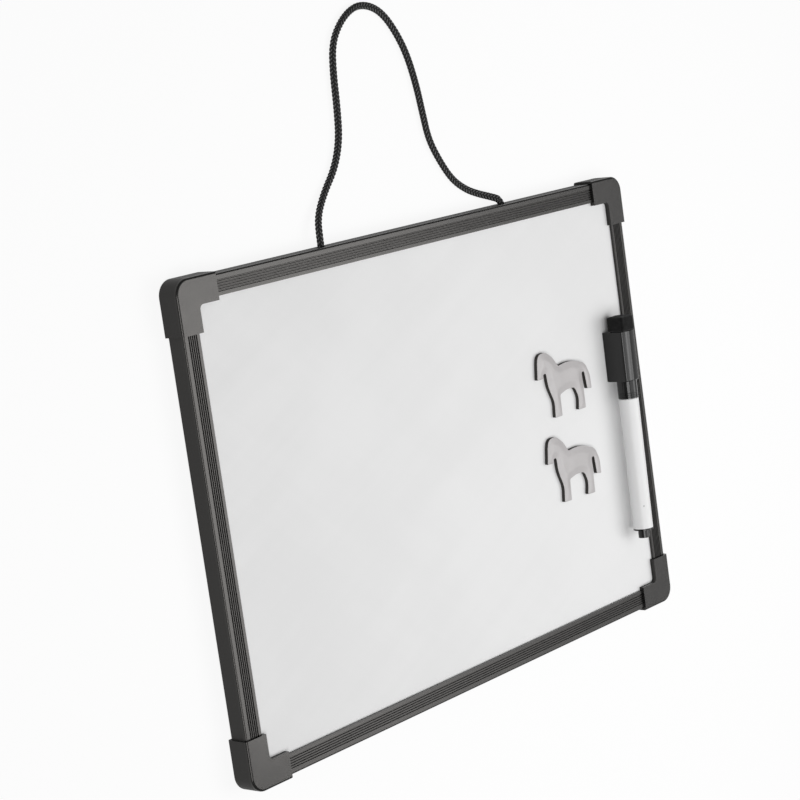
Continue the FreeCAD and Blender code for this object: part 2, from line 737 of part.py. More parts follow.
route, bends = cord_path([FreeCAD.Vector(*point) for point in CORD_ROUTE])
cord_radius = size("cord_diameter") / 2
entry_way = FreeCAD.Vector(*CORD_ROUTE[1]) - FreeCAD.Vector(*CORD_ROUTE[0])
cord_end = Part.Wire(Part.Circle(FreeCAD.Vector(*CORD_ROUTE[0]), entry_way, cord_radius).toShape())
hanging_cord = doc.addObject("Part::Feature", "hanging_cord")
hanging_cord.Shape = route.makePipeShell([cord_end], True, False)
pieces.append(hanging_cord)
doc.recompute()
print("cord radii", " ".join(f"{radius:.1f}" for radius in bends))
swept = math.pi * cord_radius ** 2 * route.Length
print(f"cord length {route.Length:.1f}, volume {hanging_cord.Shape.Volume:.1f}, section by length {swept:.1f}")

# Nothing is written unless every object is sound.
faults = [item.Label for item in doc.Objects if {"Invalid", "Error"} & set(item.State)]
faults += [piece.Label for piece in pieces if piece.Shape.isNull() or not piece.Shape.isValid()]
faults += [piece.Label for piece in pieces if len(piece.Shape.Solids) != 1]
if faults:
    raise RuntimeError("unsound: " + ", ".join(faults))
os.makedirs("parts", exist_ok=True)
for piece in pieces:
    piece.Shape.exportStep(f"parts/{piece.Label}.step")
    print(f"{piece.Label}: {piece.Shape.Volume:.1f} mm3")
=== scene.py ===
import json
import math

import bpy
import numpy as np
from mathutils import Matrix, Vector, geometry


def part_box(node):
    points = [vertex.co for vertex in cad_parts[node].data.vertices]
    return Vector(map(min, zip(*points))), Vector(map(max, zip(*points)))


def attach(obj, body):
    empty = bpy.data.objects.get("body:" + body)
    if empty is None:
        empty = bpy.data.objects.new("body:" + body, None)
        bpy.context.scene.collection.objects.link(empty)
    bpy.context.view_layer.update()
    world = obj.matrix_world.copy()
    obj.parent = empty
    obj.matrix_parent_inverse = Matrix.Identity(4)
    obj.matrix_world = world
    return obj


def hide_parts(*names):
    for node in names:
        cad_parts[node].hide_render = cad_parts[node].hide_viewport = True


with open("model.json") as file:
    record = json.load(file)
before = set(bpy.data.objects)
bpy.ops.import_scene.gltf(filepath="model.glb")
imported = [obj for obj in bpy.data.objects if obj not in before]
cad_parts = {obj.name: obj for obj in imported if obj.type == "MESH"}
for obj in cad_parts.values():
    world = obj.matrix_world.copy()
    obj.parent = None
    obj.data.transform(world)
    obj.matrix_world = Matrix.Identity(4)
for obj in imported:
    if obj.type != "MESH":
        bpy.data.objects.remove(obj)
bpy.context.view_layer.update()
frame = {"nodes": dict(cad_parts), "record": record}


# Backing sheet: grey-white liner paper on the panel's back, glued to the core board.
# Its edges run into the rails' slots. Only the paper's felted fibres and faint clouding show.
class Term:
    """A shader socket to calculate with: every operator adds one Math node and gives its result."""

    def __init__(self, finish, socket):
        self.finish = finish
        self.socket = socket

    def maths(self, operation, first, second):
        return self.finish.node("ShaderNodeMath", {"operation": operation}, {0: first, 1: second})

    def __add__(self, other):
        return self.maths("ADD", self, other)

    def __radd__(self, other):
        return self.maths("ADD", other, self)

    def __sub__(self, other):
        return self.maths("SUBTRACT", self, other)

    def __rsub__(self, other):
        return self.maths("SUBTRACT", other, self)

    def __mul__(self, other):
        return self.maths("MULTIPLY", self, other)

    def __rmul__(self, other):
        return self.maths("MULTIPLY", other, self)

    def __gt__(self, other):
        return self.maths("GREATER_THAN", self, other)


class Finish:
    """A material round one Principled shader. fixed holds the sockets that are the same all over."""

    def __init__(self, name, fixed):
        self.material = bpy.data.materials.new(name)
        self.material.use_nodes = True
        self.tree = self.material.node_tree
        self.shader = self.tree.nodes["Principled BSDF"]
        self.spot = self.node("ShaderNodeTexCoord", out="Object")
        self.feed(self.shader, fixed)

    def feed(self, node, sockets):
        """Link each term to its socket, and set each plain value on the socket itself."""
        for name, value in sockets.items():
            if isinstance(value, Term):
                self.tree.links.new(value.socket, node.inputs[name])
            else:
                node.inputs[name].default_value = value

    def node(self, kind, settings=None, sockets=None, out=0):
        """Add a node of any type, its settings first, then its sockets, and give one output."""
        made = self.tree.nodes.new(kind)
        for name, value in (settings or {}).items():
            setattr(made, name, value)
        self.feed(made, sockets or {})
        return Term(self, made.outputs[out])

    def noise(self, grain, detail=2.0, stretch=(1.0, 1.0, 1.0), turn=(0.0, 0.0, 0.0)):
        """Noise with spots of about the grain's size in metres, drawn out by stretch along turned axes."""
        placed = self.node(
            "ShaderNodeMapping",
            {"vector_type": "TEXTURE"},
            {"Vector": self.spot, "Rotation": turn, "Scale": stretch},
        )
        sockets = {"Vector": placed, "Scale": 1.0 / grain, "Detail": detail}
        return self.node("ShaderNodeTexNoise", {}, sockets, "Fac")

    def rise(self, value, low, high):
        """Smooth step: 0 where the value is at low, 1 where it is at high."""
        sockets = {"Value": value, "From Min": low, "From Max": high}
        return self.node("ShaderNodeMapRange", {"interpolation_type": "SMOOTHSTEP"}, sockets)

    def mix(self, share, first, second):
        """Colour that goes from the first to the second as share goes from 0 to 1."""
        return self.node("ShaderNodeMix", {"data_type": "RGBA"}, {0: share, 6: first, 7: second}, 2)

    def bump(self, height, depth):
        """Normal of a surface whose relief is height times depth, in metres."""
        return self.node("ShaderNodeBump", {}, {"Height": height, "Distance": depth})

    def surface(self, **sockets):
        """Feed the shader's sockets; an underscore stands for the space in a socket's name."""
        self.feed(self.shader, {name.replace("_", " "): value for name, value in sockets.items()})


def grey(value, warm=0.0):
    """Grey of one linear value, a little warmer or cooler."""
    return (value * (1.0 + warm), value, value * (1.0 - warm), 1.0)


def dress(finish, *names):
    """Give CAD nodes a material in place of their plain one."""
    for name in names:
        slots = frame["nodes"][name].data.materials
        slots.clear()
        slots.append(finish.material)


paper = Finish("liner_paper", {"Roughness": 0.9, "Specular IOR Level": 0.3})
paper_fibres = paper.noise(0.0005, 4.0, (8.0, 1.0, 1.0), (0.0, 0.0, 0.5))
paper_crossing = paper.noise(0.0005, 4.0, (8.0, 1.0, 1.0), (0.0, 0.0, 2.2))
paper_clouds = paper.noise(0.02, 3.0)
paper_felt = 0.4 * paper_fibres + 0.4 * paper_crossing + 0.2 * paper_clouds
paper.surface(
    Base_Color=paper.mix(paper.rise(paper_felt, 0.38, 0.62), grey(0.5, 0.03), grey(0.66, 0.01)),
    Normal=paper.bump(paper_felt, 0.00006),
)
dress(paper, "back_sheet")


# Core board: a light grey-brown pressed board between the two sheets, all its edges inside the rails.
# Layers of pulp show as lines across its thickness.
pulp = Finish("pulp_board", {"Roughness": 0.95, "Specular IOR Level": 0.2})
pulp_layers = pulp.noise(0.0003, 3.0, (20.0, 20.0, 1.0))
pulp_specks = pulp.noise(0.0012, 4.0)
pulp.surface(
    Base_Color=pulp.mix(
        pulp.rise(0.6 * pulp_layers + 0.4 * pulp_specks, 0.35, 0.65),
        (0.30, 0.22, 0.14, 1.0),
        (0.46, 0.36, 0.25, 1.0),
    ),
    Normal=pulp.bump(pulp_layers, 0.00008),
)
dress(pulp, "core_board")


# Writing sheet: thin steel with a baked white lacquer, bonded to the core board.
# Wiping leaves faint clouds and long fine strokes, with a few specks of pen dust.
lacquer = Finish("white_lacquer", {"Specular IOR Level": 0.2, "Coat Roughness": 0.2})
wiped_clouds = lacquer.noise(0.07, 3.0)
wiped_strokes = lacquer.noise(0.006, 3.0, (16.0, 1.0, 1.0), (0.0, 0.0, 0.45))
crossed_strokes = lacquer.noise(0.006, 3.0, (14.0, 1.0, 1.0), (0.0, 0.0, -0.7))
lacquer_peel = lacquer.noise(0.004, 1.0)
dust_cells = {"Vector": lacquer.spot, "Scale": 42.0, "Randomness": 1.0}
dust_place = lacquer.node("ShaderNodeTexVoronoi", {"feature": "F1"}, dust_cells, "Distance")
dust_pick = lacquer.node("ShaderNodeTexVoronoi", {"feature": "F1"}, dust_cells, "Color")
dust_chance = lacquer.node("ShaderNodeSeparateColor", {}, {0: dust_pick}, "Red")
dust = lacquer.rise(dust_place, 0.012, 0.006) * (dust_chance > 0.62)
ghost = 0.6 * wiped_clouds + 0.25 * wiped_strokes + 0.15 * crossed_strokes
wiped_white = lacquer.mix(lacquer.rise(ghost, 0.36, 0.64), grey(0.765), grey(0.78))
lacquer.surface(
    Base_Color=lacquer.mix(0.55 * dust, wiped_white, grey(0.3)),
    Roughness=0.42 + 0.12 * lacquer.rise(ghost, 0.6, 0.4),
    Coat_Weight=0.04 + 0.06 * wiped_strokes,
    Normal=lacquer.bump(lacquer_peel, 0.00001),
)
dress(lacquer, "writing_sheet")


# Four rails: charcoal plastic, one extruded section with fine grooves in its outer face, cut to length.
# Drawing through the die leaves faint lines along each rail and matt sides; the grooves' walls are rougher,
# with painted shade darkening their colour.
rails_half_width = 0.148
rails_half_height = 0.1045
rail_front = 0.0097
below_grooves = 0.0092
rail_side_start = 0.0091
rail_side_end = 0.0085
wall_start = 0.00004
wall_end = 0.00012
floor_start = 0.00040
floor_end = 0.00044
floor_shine = 0.8
first_groove = 0.0023
last_groove = 0.0077


def extruded_plastic(name, stretch, across, outer_edge):
    """Charcoal plastic with die lines along the rail's axis, dull on the grooves' walls, matt at the sides.

    The distance in from the frame's outer edge and the height say what is groove, wall and floor. The walls'
    darker base colour is painted shade standing in for the shade in the grooves; the floors keep a little of
    it.
    """
    finish = Finish(name, {"Specular IOR Level": 0.45, "Specular Tint": grey(0.96, 0.04)})
    die_lines = finish.noise(0.00035, 3.0, stretch)
    drift = finish.noise(0.03, 3.0)
    grain = finish.noise(0.00025, 2.0)
    place = finish.node("ShaderNodeSeparateXYZ", {}, {0: finish.spot}, across)
    level = finish.node("ShaderNodeSeparateXYZ", {}, {0: finish.spot}, "Z")
    inward = outer_edge - finish.node("ShaderNodeMath", {"operation": "ABSOLUTE"}, {0: place})
    grooved = (inward > first_groove) * (last_groove - inward > 0.0) * (level > below_grooves)
    wall = finish.rise(level, rail_front - wall_start, rail_front - wall_end)
    floor = finish.rise(level, rail_front - floor_start, rail_front - floor_end)
    # Painted shade: the grooves' walls get a near black base colour and more roughness, the floors a fifth of
    # it.
    dull_and_shaded = grooved * (wall - floor_shine * floor)
    matt_side = finish.rise(level, rail_side_start, rail_side_end)
    polished = finish.mix(
        finish.rise(0.5 * die_lines + 0.5 * drift, 0.35, 0.65), grey(0.008, 0.01), grey(0.013, 0.02)
    )
    finish.surface(
        Base_Color=finish.mix(dull_and_shaded, polished, grey(0.005)),
        Roughness=0.18 + 0.08 * die_lines + 0.06 * drift + 0.4 * dull_and_shaded + 0.36 * matt_side,
        Normal=finish.bump(0.6 * die_lines + 0.4 * grain, 0.000012),
    )
    return finish


across_plastic = extruded_plastic("rail_plastic_across", (160.0, 1.0, 1.0), "Y", rails_half_height)
upright_plastic = extruded_plastic("rail_plastic_upright", (1.0, 160.0, 1.0), "X", rails_half_width)
dress(across_plastic, "top_rail", "bottom_rail")
dress(upright_plastic, "left_rail", "right_rail")


# Four corner caps: injection-moulded plastic sleeves, pushed over two rail ends and the panel's corner.
# Their mould was spark-eroded, which leaves a fine even grain, rubbed on the front and matt at the sides.
corner_side_start = 0.0101
corner_side_end = 0.0094
moulded = Finish("corner_plastic", {"Specular IOR Level": 0.42, "Specular Tint": grey(0.96, 0.04)})
spark_grain = moulded.noise(0.00045, 3.0)
rubbed = moulded.noise(0.006, 3.0)
corner_level = moulded.node("ShaderNodeSeparateXYZ", {}, {0: moulded.spot}, "Z")
corner_side = moulded.rise(corner_level, corner_side_start, corner_side_end)
moulded.surface(
    Base_Color=moulded.mix(
        moulded.rise(0.5 * spark_grain + 0.5 * rubbed, 0.35, 0.65), grey(0.008), grey(0.012)
    ),
    Roughness=0.17 + 0.12 * rubbed + 0.36 * corner_side,
    Normal=moulded.bump(spark_grain, 0.000025),
)
dress(moulded, "top_left_corner", "top_right_corner", "bottom_left_corner", "bottom_right_corner")


# Hanging cord: a black polyester braid of twelve strands, six each way round, two over and two under.
# It comes out of a hole in the top rail, lies in a loose loop and goes back in by the other hole.
cord_route = (
    (-0.0586, 0.1004, 0.0054), (-0.0586, 0.1084, 0.0054), (-0.0556, 0.1170, 0.0032),
    (-0.0480, 0.1260, 0.0016), (-0.0394, 0.1352, 0.0016), (-0.0340, 0.1466, 0.0016),
    (-0.0324, 0.1606, 0.0016), (-0.0318, 0.1746, 0.0016), (-0.0298, 0.1872, 0.0016),
    (-0.0226, 0.1962, 0.0016), (-0.0128, 0.2016, 0.0016), (-0.0036, 0.2012, 0.0016),
    (0.0044, 0.1972, 0.0016), (0.0110, 0.1894, 0.0016), (0.0168, 0.1786, 0.0016),
    (0.0204, 0.1646, 0.0016), (0.0222, 0.1506, 0.0016), (0.0238, 0.1394, 0.0016),
    (0.0292, 0.1292, 0.0016), (0.0360, 0.1198, 0.0016), (0.0448, 0.1140, 0.0016),
    (0.0520, 0.1110, 0.0024), (0.0578, 0.1089, 0.0039), (0.0642, 0.1064, 0.0054),
    (0.0642, 0.1004, 0.0054),
)
cord_diameter = 0.003
strands_each_way = 6
braid_pitch = 0.0105
strand_relief = 0.00032
spread_base = 1.06
spread_share = 0.12
spread_length = 0.11
points_round_cord = 56
points_per_span = 44


def smooth_line(name, route, fineness):
    """Points along a NURBS spline of order 3 whose control points are the route's points."""
    curve = bpy.data.curves.new(name, "CURVE")
    curve.dimensions = "3D"
    curve.resolution_u = fineness
    spline = curve.splines.new("NURBS")
    spline.points.add(len(route) - 1)
    spline.points.foreach_set("co", np.insert(np.array(route), 3, 1.0, axis=1).ravel())
    spline.order_u = 3
    spline.use_endpoint_u = True
    holder = bpy.data.objects.new(name, curve)
    bpy.context.collection.objects.link(holder)
    line = bpy.data.meshes.new_from_object(holder)
    points = np.empty(len(line.vertices) * 3)
    line.vertices.foreach_get("co", points)
    bpy.data.objects.remove(holder)
    bpy.data.curves.remove(curve)
    bpy.data.meshes.remove(line)
    return points.reshape(-1, 3)


def unit(vectors):
    """The same directions, each of length one."""
    return vectors / np.linalg.norm(vectors, axis=-1, keepdims=True)


def add_piece(name, points, faces, finish):
    """New object at the origin from points and faces, smooth shaded, with one material."""
    mesh = bpy.data.meshes.new(name)
    mesh.from_pydata(points.tolist(), [], faces)
    mesh.shade_smooth()
    mesh.materials.append(finish.material)
    piece = bpy.data.objects.new(name, mesh)
    bpy.context.collection.objects.link(piece)
    return piece


def ring_faces(rows, columns):
    """Quads between closed rings of points, each ring after the last, and a face over each end."""
    index = np.arange(rows * columns).reshape(rows, columns)
    beside = np.roll(index, -1, axis=1)
    quads = np.stack([index[:-1], beside[:-1], beside[1:], index[1:]], axis=-1).reshape(-1, 4)
    return quads.tolist() + [index[0, ::-1].tolist(), index[-1].tolist()]


def braided_tube(line):
    """Tube round a line: the radius rises where a strand lies on top.

    With angle t and run s, strands lie where a = n (t / 2 pi - s / pitch) and b = n (t / 2 pi + s / pitch)
    are whole numbers. The lift, a cosine of n t / 2, says which of the two is on top, in upright columns.
    The hollow braid lies a little flat: its width goes up and down by the spread share along its run.
    """
    runs = np.insert(np.cumsum(np.linalg.norm(np.diff(line, axis=0), axis=1)), 0, 0.0)
    ahead = unit(np.gradient(line, axis=0))
    aside = unit(np.cross((0.0, 0.0, 1.0), ahead))
    above = np.cross(ahead, aside)
    angle = np.linspace(0.0, 2.0 * math.pi, points_round_cord, endpoint=False)[None, :]
    turns = strands_each_way * angle / (2.0 * math.pi)
    wound = strands_each_way * runs[:, None] / braid_pitch
    lift = np.clip(math.sqrt(2.0) * np.cos(strands_each_way * angle / 2.0 - math.pi / 4.0), -1.0, 1.0)
    one_way = np.cos(math.pi * (turns - wound)) ** 2 * (0.5 + 0.5 * lift)
    other_way = np.cos(math.pi * (turns + wound)) ** 2 * (0.5 - 0.5 * lift)
    height = np.maximum(one_way, other_way)
    radius = (cord_diameter / 2.0 - strand_relief * (1.0 - height))[..., None]
    spread = spread_base + spread_share * np.sin(math.pi * runs / spread_length) ** 2
    wide = (spread[:, None] * np.cos(angle))[..., None]
    round_it = wide * aside[:, None] + np.sin(angle)[..., None] * above[:, None]
    return line[:, None] + radius * round_it, height


braid = Finish("cord_braid", {"Specular IOR Level": 0.35, "Sheen Weight": 0.15, "Sheen Roughness": 0.4})
strand_height = braid.node("ShaderNodeAttribute", {"attribute_name": "strand"}, {}, "Fac")
yarn_threads = braid.noise(0.00012, 2.0)
yarn_fade = braid.noise(0.012, 2.0)
# Painted highlight and shade: the strands' tops are coloured light grey and the hollows between them near
# black, following the strands' height.
painted_crown_highlight = braid.rise(strand_height, 0.62, 1.0)
braid.surface(
    Base_Color=braid.mix(painted_crown_highlight * (0.6 + 0.5 * yarn_fade), grey(0.003), grey(0.16)),
    Roughness=0.75 - 0.2 * painted_crown_highlight,
    Normal=braid.bump(yarn_threads, 0.00004),
)
cord_line = smooth_line("cord_line", cord_route, points_per_span)
cord_points, cord_heights = braided_tube(cord_line)
cord = add_piece(
    "braided_cord", cord_points.reshape(-1, 3), ring_faces(len(cord_line), points_round_cord), braid
)
cord.data.attributes.new("strand", "FLOAT", "POINT").data.foreach_set("value", cord_heights.ravel())
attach(cord, "board")
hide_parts("hanging_cord")


# Two ferrules: short steel tubes crimped on the cord's ends behind the holes, so that it can't pull out.
# They are turned and left bare, with fine lines round them.
bare_steel = Finish("ferrule_steel", {"Metallic": 1.0})
turned_lines = bare_steel.noise(0.00012, 2.0, (30.0, 1.0, 30.0))
steel_stain = bare_steel.noise(0.0015, 3.0)
bare_steel.surface(
    Base_Color=bare_steel.mix(bare_steel.rise(steel_stain, 0.35, 0.7), grey(0.42), grey(0.6)),
    Roughness=0.28 + 0.2 * turned_lines,
    Normal=bare_steel.bump(turned_lines, 0.00001),
)
dress(bare_steel, "left_cord_ferrule", "right_cord_ferrule")


# Pen cap: glossy black moulded plastic, a box with a crowned front and a round collar that grips the barrel.
# Its holder is closed at the back round a bar magnet. The barrel's end plug is the same plastic.
black_gloss = Finish("pen_black_plastic", {"Specular IOR Level": 0.36})
gloss_flow = black_gloss.noise(0.004, 2.0, (1.0, 4.0, 1.0))
gloss_scuff = black_gloss.noise(0.0008, 4.0, (1.0, 6.0, 1.0))
black_gloss.surface(
    Base_Color=black_gloss.mix(gloss_flow, grey(0.006), grey(0.010)),
    Roughness=0.08 + 0.06 * gloss_flow + 0.06 * black_gloss.rise(gloss_scuff, 0.55, 0.75),
    Normal=black_gloss.bump(gloss_flow, 0.00002),
)
dress(black_gloss, "pen_cap", "end_plug")


# Bar magnet: pressed dark ferrite in a pocket in the holder's back, held by its press fit.
ferrite = Finish("bar_ferrite", {"IOR": 1.6})
ferrite_grain = ferrite.noise(0.0003, 4.0)
ferrite.surface(
    Base_Color=ferrite.mix(ferrite_grain, grey(0.03), grey(0.075)),
    Roughness=0.55 + 0.2 * ferrite_grain,
    Normal=ferrite.bump(ferrite_grain, 0.00003),
)
dress(ferrite, "cap_magnet")


# Felt eraser: a block of pressed black wool felt glued on the cap's end.
# It is cut with a knife, so its faces are flat and its edges soften into loose fibres.
felt_half_width = 0.0048
felt_half_height = 0.0047
felt_half_length = 0.0036
felt_edge = 0.0011
felt_lumps = 0.00010
felt_nap = 0.00006
felt_waves = ((2100.0, 900.0, -1500.0), (-800.0, 1900.0, 1300.0), (1200.0, -700.0, 2300.0))
felt_seed = 7
felt_centre_share = 0.02
rings_on_end = 17
rings_on_edge = 6
rings_on_side = 24
points_round_felt = 150
points_before_resampling = 400


def block_outline(half_width, half_height, edge, count):
    """Rectangle with rounded corners: four corner centres, a quarter turn round each, evenly resampled."""
    angle = np.linspace(0.0, 2.0 * math.pi, points_before_resampling, endpoint=False)
    centre = np.stack([
        np.where(np.cos(angle) >= 0.0, 1.0, -1.0) * (half_width - edge),
        np.where(np.sin(angle) >= 0.0, 1.0, -1.0) * (half_height - edge),
    ], axis=1)
    corner = centre + edge * np.stack([np.cos(angle), np.sin(angle)], axis=1)
    closed = np.vstack([corner, corner[:1]])
    run = np.insert(np.cumsum(np.linalg.norm(np.diff(closed, axis=0), axis=1)), 0, 0.0)
    even = np.linspace(0.0, run[-1], count, endpoint=False)
    return np.stack([np.interp(even, run, closed[:, 0]), np.interp(even, run, closed[:, 1])], axis=1)


def felt_block(middle, across, along, upright):
    """Block carried along its length: the outline grows over one end, runs along, and shrinks over the other.

    An inset by the edge's radius follows a quarter circle at each end. Sums of sines in the three axes raise
    broad lumps, and a seeded scatter adds the nap.
    """
    turn = np.linspace(0.0, math.pi / 2.0, rings_on_edge + 1)[:-1]
    end_share = np.linspace(felt_centre_share, 1.0, rings_on_end + 1)[:-1]
    share = np.concatenate([end_share, np.ones(rings_on_side + 2 * rings_on_edge), end_share[::-1]])
    end_inset = np.full(rings_on_end, felt_edge)
    edge_inset = felt_edge * (1.0 - np.sin(turn))
    inset = np.concatenate([end_inset, edge_inset, np.zeros(rings_on_side), edge_inset[::-1], end_inset])
    end_place = np.full(rings_on_end, felt_half_length)
    edge_place = felt_half_length - felt_edge + felt_edge * np.cos(turn)
    side_place = np.linspace(-1.0, 1.0, rings_on_side) * (felt_half_length - felt_edge)
    place = np.concatenate([-end_place, -edge_place, side_place, edge_place[::-1], end_place])
    outline = block_outline(felt_half_width, felt_half_height, felt_edge, points_round_felt)
    reach = 1.0 - inset[:, None, None] / np.array([felt_half_width, felt_half_height])
    flat = outline[None] * share[:, None, None] * reach
    local = np.concatenate([flat, np.broadcast_to(place[:, None, None], flat.shape[:2] + (1,))], axis=2)
    waves = np.sin(local @ np.array(felt_waves))
    scatter = np.random.default_rng(felt_seed).normal(size=local.shape)
    local = local + felt_lumps * waves * 0.5 + felt_nap * np.clip(scatter, -2.0, 2.0) * 0.5
    return middle + local[..., :1] * across + local[..., 1:2] * upright + local[..., 2:3] * along


felt = Finish("black_felt", {"Specular IOR Level": 0.1, "Sheen Weight": 0.15, "Sheen Roughness": 0.5})
felt_fibres = felt.noise(0.00018, 4.0, (4.0, 1.0, 1.0), (0.3, 0.5, 0.7))
felt_tangle = felt.noise(0.00018, 4.0, (1.0, 4.0, 1.0), (0.6, 0.2, -0.4))
felt_dust = felt.noise(0.0012, 3.0)
felt_nest = 0.5 * felt_fibres + 0.5 * felt_tangle
felt.surface(
    Base_Color=felt.mix(
        felt.rise(0.7 * felt_nest + 0.3 * felt_dust, 0.4, 0.66), grey(0.003), grey(0.016)
    ),
    Roughness=0.9 + 0.1 * felt_dust,
    Normal=felt.bump(felt_nest, 0.00012),
)
pull = next(joint for joint in frame["record"]["behaviour"]["joints"] if joint["name"] == "pen_pull")
pen_along = -np.array(pull["axis"])
pen_across = np.cross(pen_along, (0.0, 0.0, 1.0))
pen_upright = np.array((0.0, 0.0, 1.0))
felt_low, felt_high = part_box("eraser_felt")
felt_middle = (np.array(felt_low) + np.array(felt_high)) / 2.0
felt_points = felt_block(felt_middle, pen_across, pen_along, pen_upright)
eraser = add_piece(
    "eraser_block", felt_points.reshape(-1, 3), ring_faces(len(felt_points), points_round_felt), felt
)
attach(eraser, "pen_holder")
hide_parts("eraser_felt")


# Pen barrel: satin white moulded tube, necked at its mouth to go into the cap's collar.
# A small grey gate mark shows near its lower end, where the plastic came into the mould.
gate_place = (0.1230, -0.0520, 0.01985)
gate_radius = 0.00055
satin_white = Finish("pen_white_plastic", {"Specular IOR Level": 0.3})
white_flow = satin_white.noise(0.006, 2.0, (1.0, 6.0, 1.0))
white_grain = satin_white.noise(0.0003, 2.0)
gate_offset = satin_white.node(
    "ShaderNodeVectorMath", {"operation": "DISTANCE"}, {0: satin_white.spot, 1: gate_place}, "Value"
)
gate = satin_white.rise(gate_offset, gate_radius, gate_radius * 0.6)
satin_white.surface(
    Base_Color=satin_white.mix(0.6 * gate, satin_white.mix(white_flow, grey(0.745), grey(0.785)), grey(0.3)),
    Roughness=0.30 + 0.12 * white_flow,
    Normal=satin_white.bump(0.7 * white_grain + 0.3 * white_flow, 0.000012),
)
dress(satin_white, "pen_barrel")


# Nib and ink reservoir: a bonded fibre point pushed into the barrel's neck, and a bundle of fibre behind it.
# Ink has soaked both; fine fibres run along them.
nib_fibre = Finish("nib_fibre", {"Specular IOR Level": 0.2})
nib_strands = nib_fibre.noise(0.00015, 3.0, (1.0, 12.0, 1.0))
nib_fibre.surface(
    Base_Color=nib_fibre.mix(nib_strands, grey(0.008), grey(0.035)),
    Roughness=0.7 + 0.2 * nib_strands,
    Normal=nib_fibre.bump(nib_strands, 0.00004),
)
dress(nib_fibre, "pen_nib")
soaked_fibre = Finish("reservoir_fibre", {"Specular IOR Level": 0.2})
soaked_strands = soaked_fibre.noise(0.0002, 3.0, (1.0, 20.0, 1.0))
soaked_clouds = soaked_fibre.noise(0.006, 2.0)
soaked_fibre.surface(
    Base_Color=soaked_fibre.mix(0.5 * soaked_strands + 0.5 * soaked_clouds, grey(0.04), grey(0.4)),
    Roughness=0.8 + 0.1 * soaked_strands,
    Normal=soaked_fibre.bump(soaked_strands, 0.00005),
)
dress(soaked_fibre, "ink_reservoir")


# Two horse magnets: a die-cut sheet of dark magnetic rubber under a poured grey face.
# The resin is drawn up by its skin, so the face has a low rim along its cut edge and a pillow further in.
face_edge_height = 0.00015
face_rise = 0.00025
face_reach = 0.0004
pillow_rise = 0.00045
pillow_start = 0.0012
pillow_end = 0.0034
face_spacing = 0.00042
edge_spacing = 0.0004
rim_clearance = 0.55
smoothing_rounds = 5
sharpest_smooth_turn = math.radians(50.0)
level_tolerance = 0.00001


def top_outline(node):
    """Outline of a node's flat top, in order: the edges that only one of its upward triangles has."""
    mesh = frame["nodes"][node].data
    points = np.empty(len(mesh.vertices) * 3)
    mesh.vertices.foreach_get("co", points)
    corners = np.empty(len(mesh.loops), dtype=int)
    mesh.loops.foreach_get("vertex_index", corners)
    keys, merged = np.unique(np.round(points.reshape(-1, 3), 7), axis=0, return_inverse=True)
    triangles = merged.ravel()[corners].reshape(-1, 3)
    top = keys[:, 2].max() - level_tolerance
    triangles = triangles[(keys[triangles][:, :, 2] > top).all(axis=1)]
    edges = np.vstack([triangles[:, [0, 1]], triangles[:, [1, 2]], triangles[:, [2, 0]]])
    paired = {tuple(edge) for edge in edges[:, ::-1].tolist()}
    follows = {first: second for first, second in edges.tolist() if (first, second) not in paired}
    chain = [next(iter(follows))]
    while follows[chain[-1]] != chain[0]:
        chain.append(follows[chain[-1]])
    return keys[chain]


def divided(outline):
    """The outline with points added on each side, so that none are further apart than the spacing."""
    sides = np.roll(outline, -1, axis=0) - outline
    parts = np.ceil(np.linalg.norm(sides, axis=1) / edge_spacing).astype(int)
    first = np.repeat(np.cumsum(parts) - parts, parts)
    share = (np.arange(parts.sum()) - first) / np.repeat(parts, parts)
    return np.repeat(outline, parts, axis=0) + share[:, None] * np.repeat(sides, parts, axis=0)


def edge_distance(points, outline):
    """Distance of each point from the nearest side of the outline, and whether it lies inside it."""
    start = outline[None]
    side = np.roll(outline, -1, axis=0)[None] - start
    offset = points[:, None] - start
    share = np.clip((offset * side).sum(-1) / (side * side).sum(-1), 0.0, 1.0)
    distance = np.linalg.norm(offset - share[..., None] * side, axis=-1).min(axis=1)
    end = start + side
    spans = (start[..., 1] > points[:, None, 1]) != (end[..., 1] > points[:, None, 1])
    slope = np.where(spans, offset[..., 1] / np.where(side[..., 1] == 0.0, 1.0, side[..., 1]), 0.0)
    crossings = (spans & (offset[..., 0] < slope * side[..., 0])).sum(axis=1)
    return distance, crossings % 2 == 1


